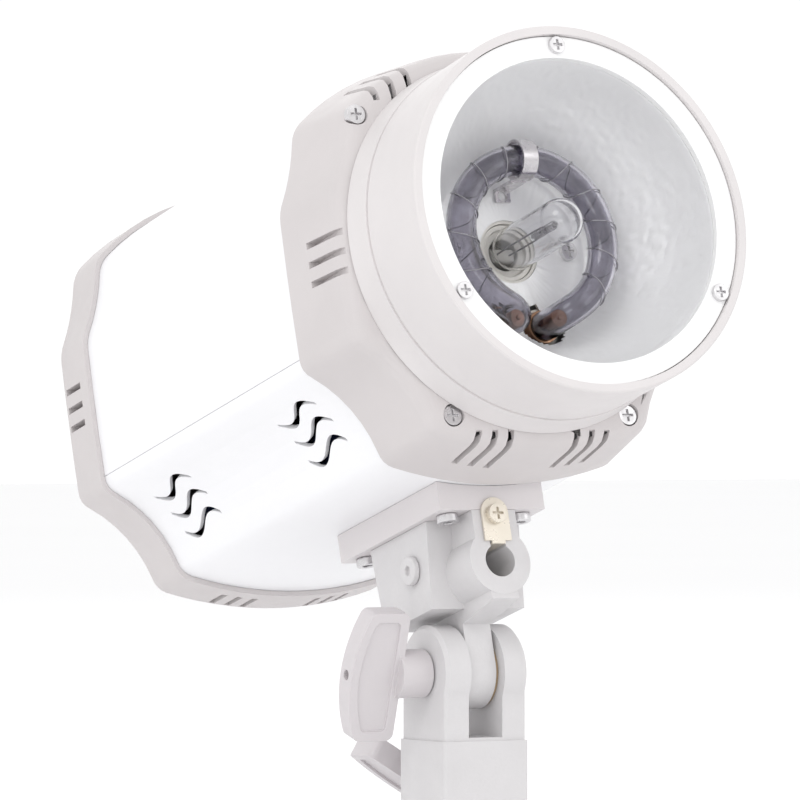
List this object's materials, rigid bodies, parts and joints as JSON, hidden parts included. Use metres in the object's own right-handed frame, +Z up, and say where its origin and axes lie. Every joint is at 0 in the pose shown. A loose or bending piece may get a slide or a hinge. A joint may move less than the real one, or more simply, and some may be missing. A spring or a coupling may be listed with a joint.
{
  "type": "studio flash head",
  "caption": "Compact studio flash head with reflector bowl, ring flash tube, modelling lamp, vented body, rear controls and a tilting bracket with umbrella tube and stand socket.",
  "frame": {"origin": "centre of the mouth of the stand socket, at the foot of the receiver", "axes": "+Z up along the stand socket, -Y the side the lamp faces, +X across the tilt pivot"},
  "size_m": [0.1258, 0.2398, 0.2511],
  "materials": {
    "silver_paint": "smooth satin silver paint",
    "bezel_plastic": "pale grey moulded plastic, fine matt",
    "collar_plastic": "pale grey moulded plastic, fine matt",
    "panel_plastic": "mid grey moulded plastic, fine matt",
    "ring_paint": "near white satin paint",
    "dish_aluminium": "hammered bright aluminium",
    "zinc_screw": "zinc plated",
    "tube_glass": "clear quartz tube, slightly smoky",
    "ferrule_copper": "dull coppered metal",
    "socket_ceramic": "unglazed cream ceramic",
    "wire_nickel": "bright nickel wire",
    "clip_steel": "bright spring steel",
    "lamp_glass": "clear glass",
    "bulkhead_steel": "plain sheet steel",
    "post_brass": "turned brass",
    "board_green": "green lacquered board",
    "capacitor_sleeve": "dark blue shrunk sleeve",
    "coil_tape": "yellow winding tape",
    "transformer_core": "varnished iron core",
    "sink_aluminium": "extruded aluminium",
    "switch_black": "black moulded plastic",
    "rocker_red": "red moulded plastic",
    "dial_plastic": "dark grey moulded plastic",
    "shaft_steel": "bright turned steel",
    "button_red": "red moulded plastic",
    "lens_red": "clear red lens",
    "sensor_lens": "dark red clear lens",
    "jack_metal": "nickel plated",
    "fuse_black": "black moulded plastic",
    "fuse_glass": "glass cartridge with metal ends",
    "inlet_black": "black moulded plastic",
    "plate_paint": "pale grey satin paint",
    "casting_paint": "pale grey satin paint on cast metal",
    "clip_brass": "pale polished brass",
    "washer_fibre": "pressed fibre",
    "knob_casting": "pale grey satin paint on a cast wing"
  },
  "bodies": {
    "stand": {"receiver": "casting_paint", "tilt_nut": "zinc_screw", "friction_washers": "washer_fibre"},
    "head": {"upper_cover": "silver_paint", "lower_cover": "silver_paint", "front_bezel": "bezel_plastic", "rear_bezel": "bezel_plastic", "rear_panel": "panel_plastic", "front_collar": "collar_plastic", "trim_ring": "ring_paint", "trim_ring_screws": "zinc_screw", "bezel_screws": "zinc_screw", "rear_bezel_screws": "zinc_screw", "reflector_dish": "dish_aluminium", "dish_screws": "zinc_screw", "flash_tube": "tube_glass", "tube_ferrules": "ferrule_copper", "tube_sockets": "socket_ceramic", "trigger_wire": "wire_nickel", "tube_clip": "clip_steel", "modelling_lamp": "lamp_glass", "lamp_socket": "socket_ceramic", "bulkhead": "bulkhead_steel", "spacer_posts": "post_brass", "chassis": "bulkhead_steel", "main_board": "board_green", "capacitor_a": "capacitor_sleeve", "capacitor_b": "capacitor_sleeve", "capacitor_strap": "bulkhead_steel", "trigger_coil": "coil_tape", "transformer": "transformer_core", "heat_sink": "sink_aluminium", "control_board": "board_green", "power_switch_frame": "switch_black", "lamp_switch_frame": "switch_black", "dial_pot": "bulkhead_steel", "ready_lamp": "lens_red", "slave_sensor": "sensor_lens", "sync_jack": "jack_metal", "fuse_holder": "fuse_black", "fuse": "fuse_glass", "mains_inlet": "inlet_black", "inlet_screws": "zinc_screw", "mount_plate": "plate_paint", "plate_screws": "zinc_screw", "bracket_upper": "casting_paint", "umbrella_clip": "clip_brass", "clip_screw": "clip_brass", "side_screw": "casting_paint"},
    "tilt_clamp": {"tilt_screw": "shaft_steel"},
    "tilt_wing": {"tilt_knob": "knob_casting"},
    "stand_clamp": {"stand_screw": "shaft_steel"},
    "stand_wing": {"stand_knob": "knob_casting"},
    "power_rocker_body": {"power_rocker": "rocker_red"},
    "lamp_rocker_body": {"lamp_rocker": "switch_black"},
    "dial_body": {"power_dial": "dial_plastic", "dial_shaft": "shaft_steel"},
    "button_body": {"test_button": "button_red"},
    "cap_body": {"fuse_cap": "fuse_black"}
  },
  "joints": [
    {"name": "head_tilt", "type": "hinge", "parent": "stand", "child": "head", "pos_m": [0, 0, 0.06], "axis": [1, 0, 0], "range_deg": [-44, 91]},
    {"name": "tilt_screw_travel", "type": "slide", "parent": "stand", "child": "tilt_clamp", "axis": [1, 0, 0], "range_m": [-0.0025, 0.0003]},
    {"name": "tilt_knob_turn", "type": "hinge", "parent": "tilt_clamp", "child": "tilt_wing", "pos_m": [-0.02, 0, 0.06], "axis": [1, 0, 0], "range_deg": [-720, 80]},
    {"name": "stand_screw_travel", "type": "slide", "parent": "stand", "child": "stand_clamp", "axis": [0, -1, 0], "range_m": [-0.0025, 0.0003]},
    {"name": "stand_knob_turn", "type": "hinge", "parent": "stand_clamp", "child": "stand_wing", "pos_m": [0, 0.02, 0.027], "axis": [0, -1, 0], "range_deg": [-720, 80]},
    {"name": "power_rocker_tip", "type": "hinge", "parent": "head", "child": "power_rocker_body", "pos_m": [0.027, 0.12871, 0.13264], "axis": [1, 0, 0], "range_deg": [-16, 0]},
    {"name": "lamp_rocker_tip", "type": "hinge", "parent": "head", "child": "lamp_rocker_body", "pos_m": [-0.027, 0.12871, 0.13264], "axis": [1, 0, 0], "range_deg": [-16, 0]},
    {"name": "dial_turn", "type": "hinge", "parent": "head", "child": "dial_body", "pos_m": [0, 0.14364, 0.16476], "axis": [0, 0.9613, -0.2756], "range_deg": [0, 270]},
    {"name": "button_press", "type": "slide", "parent": "head", "child": "button_body", "axis": [0, -0.9613, 0.2756], "range_m": [0, 0.0015], "stiffness_N_per_m": 400},
    {"name": "cap_turn", "type": "hinge", "parent": "head", "child": "cap_body", "pos_m": [0.025, 0.12683, 0.10613], "axis": [0, 0.9613, -0.2756], "range_deg": [-90, 0]}
  ],
  "couplings": [
    {"joint": "tilt_screw_travel", "follows": "tilt_knob_turn", "m_per_rad": 0.00019894},
    {"joint": "stand_screw_travel", "follows": "stand_knob_turn", "m_per_rad": 0.00019894}
  ]
}
